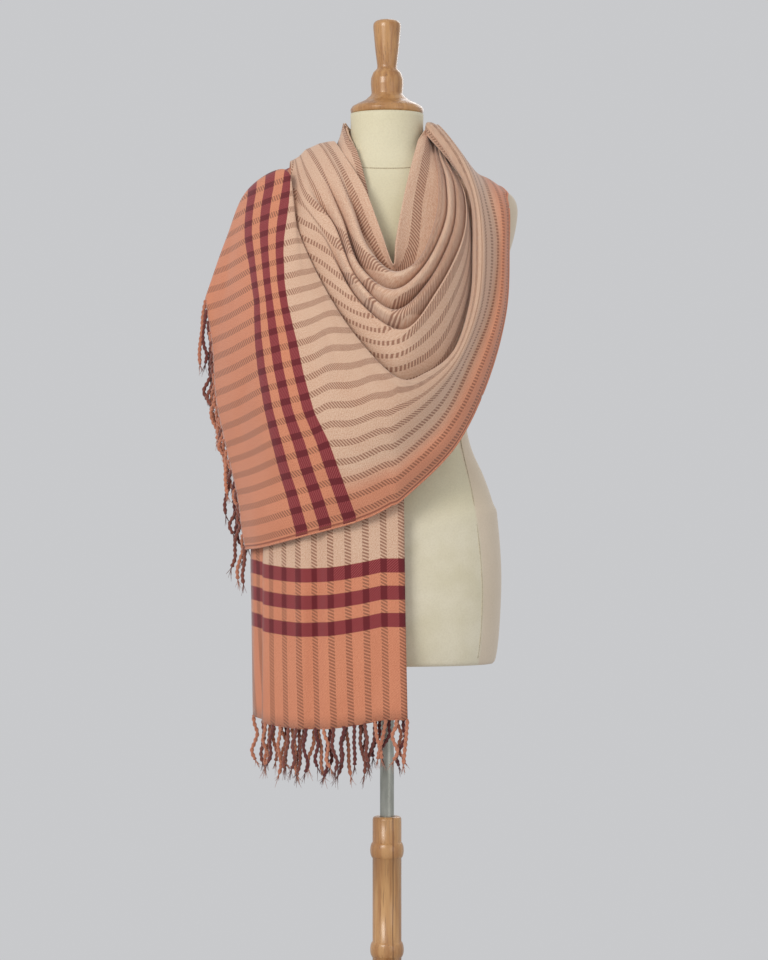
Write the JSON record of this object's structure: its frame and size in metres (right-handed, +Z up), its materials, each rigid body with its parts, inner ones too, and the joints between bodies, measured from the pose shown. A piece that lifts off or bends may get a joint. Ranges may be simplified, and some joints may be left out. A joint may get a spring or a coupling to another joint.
{
  "type": "fringed woven stole on a limbless dress form and stand",
  "caption": "Striped woven stole with twisted fringe, wound round the neck of a limbless dress form in cowl folds, one end hanging and one thrown over the shoulder, on a turned wooden stand.",
  "frame": {"origin": "middle of the base's underside, on the floor", "axes": "+Z up along the pole, the form faces -Y, +X is the viewer's right"},
  "size_m": [0.4525, 0.3926, 1.6565],
  "materials": {
    "terracotta cloth": "soft matte twill weave with cross bands",
    "ecru cloth": "soft matte twill weave with lengthwise stripes",
    "fringe yarn": "matte twisted yarn",
    "cream jersey": "matte fine knit, stretched smooth",
    "varnished wood": "satin varnish",
    "pole metal": "satin"
  },
  "bodies": {
    "stand": {"stand_base": "varnished wood", "stand_post": "varnished wood"},
    "pole": {"stand_pole": "pole metal"},
    "figure": {"form_torso": "cream jersey", "neck_block": "varnished wood", "stole_front_panel": "terracotta cloth", "stole_cowl": "ecru cloth", "stole_shoulder_end": "terracotta cloth", "stole_back": "ecru cloth", "stole_hanging_end": "terracotta cloth", "fringe_thrown_edge": "fringe yarn", "fringe_thrown_corner": "fringe yarn", "fringe_hanging_outer": "fringe yarn", "fringe_hanging_middle": "fringe yarn", "fringe_hanging_inner": "fringe yarn"}
  },
  "joints": [
    {"name": "height", "type": "slide", "parent": "stand", "child": "pole", "axis": [0, 0, 1], "range_m": [-0.05, 0.15]},
    {"name": "turn", "type": "hinge", "parent": "pole", "child": "figure", "pos_m": [0, 0, 0.8], "axis": [0, 0, 1], "continuous": true}
  ]
}
